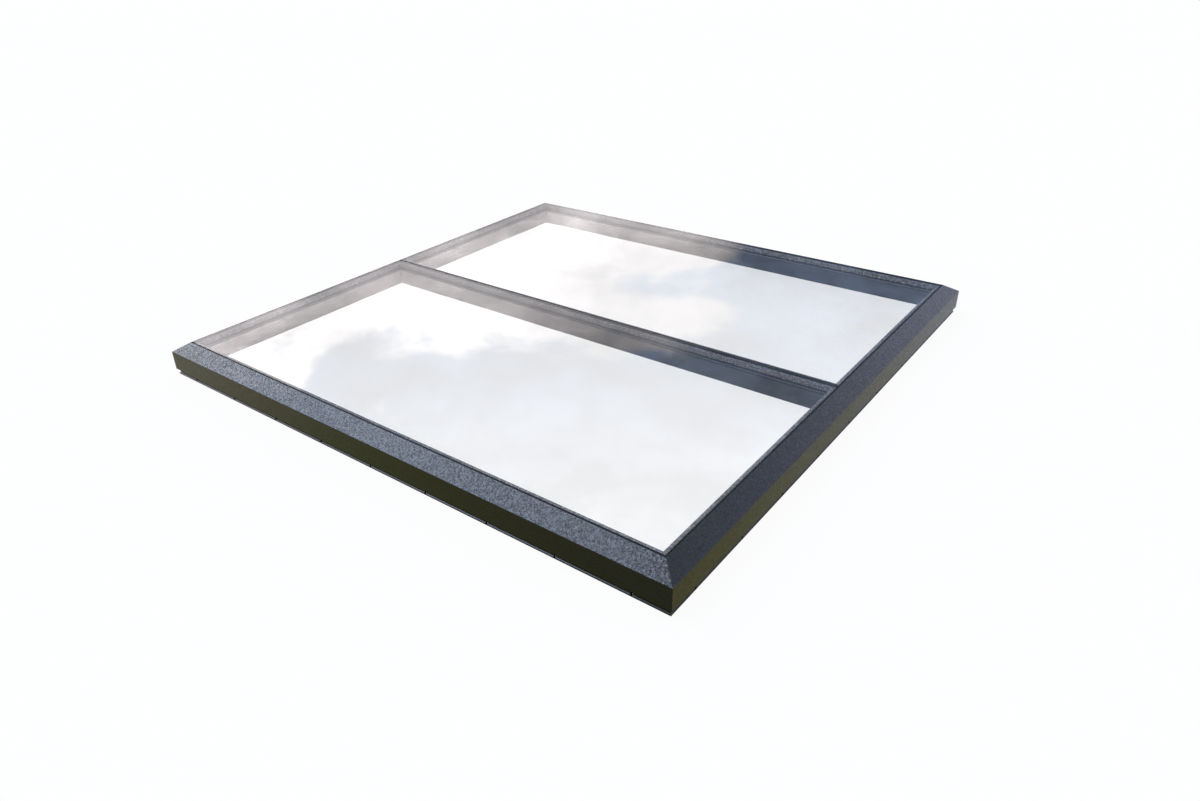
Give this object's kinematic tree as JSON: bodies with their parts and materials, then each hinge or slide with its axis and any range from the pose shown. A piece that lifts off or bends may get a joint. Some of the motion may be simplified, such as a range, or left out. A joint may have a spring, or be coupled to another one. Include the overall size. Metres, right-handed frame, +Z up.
{
  "type": "flat glass rooflight",
  "caption": "Fixed square flat rooflight with flush double-glazed panes either side of a glazing bar, sloping anthracite cap and drip leg over a kerb.",
  "frame": {"origin": "middle of the base, on the plane that the foot of the drip leg rests on", "axes": "+Z up through the glass; the glazing bar runs along X; the front and back panes lie either side of it along Y"},
  "size_m": [2.16, 2.16, 0.124],
  "materials": {
    "powder_coat": "fine-textured anthracite powder coat",
    "mill_aluminium": "mill-finish aluminium",
    "zinc_steel": "bright zinc-plated steel",
    "polyamide": "glass-filled polyamide, matt black",
    "epdm_rubber": "matt black EPDM rubber",
    "silicone_seal": "tooled black silicone",
    "foam_strip": "closed-cell foam",
    "clear_glass": "polished clear float glass",
    "spacer_foam": "matt grey warm-edge spacer",
    "block_plastic": "moulded blue polypropylene"
  },
  "bodies": {
    "root": {"front_cap": "powder_coat", "right_cap": "powder_coat", "back_cap": "powder_coat", "left_cap": "powder_coat", "front_outer_profile": "powder_coat", "right_outer_profile": "powder_coat", "back_outer_profile": "powder_coat", "left_outer_profile": "powder_coat", "front_thermal_break": "polyamide", "right_thermal_break": "polyamide", "back_thermal_break": "polyamide", "left_thermal_break": "polyamide", "front_inner_profile": "powder_coat", "right_inner_profile": "powder_coat", "back_inner_profile": "powder_coat", "left_inner_profile": "powder_coat", "glazing_bar": "powder_coat", "left_bar_spigot": "mill_aluminium", "right_bar_spigot": "mill_aluminium", "spigot_screws": "zinc_steel", "bar_screws": "zinc_steel", "outer_corner_cleats": "mill_aluminium", "inner_corner_cleats": "mill_aluminium", "cap_corner_brackets": "mill_aluminium", "cap_clips": "zinc_steel", "perimeter_gasket": "epdm_rubber", "joint_seal": "silicone_seal", "backer_rod": "foam_strip", "centre_strip": "epdm_rubber", "front_outer_pane": "clear_glass", "back_outer_pane": "clear_glass", "front_inner_pane": "clear_glass", "back_inner_pane": "clear_glass", "front_spacer": "spacer_foam", "back_spacer": "spacer_foam", "front_edge_seal": "silicone_seal", "back_edge_seal": "silicone_seal", "front_glazing_tape": "epdm_rubber", "back_glazing_tape": "epdm_rubber", "front_setting_blocks": "block_plastic", "back_setting_blocks": "block_plastic", "kerb_seal": "foam_strip"}
  },
  "joints": []
}
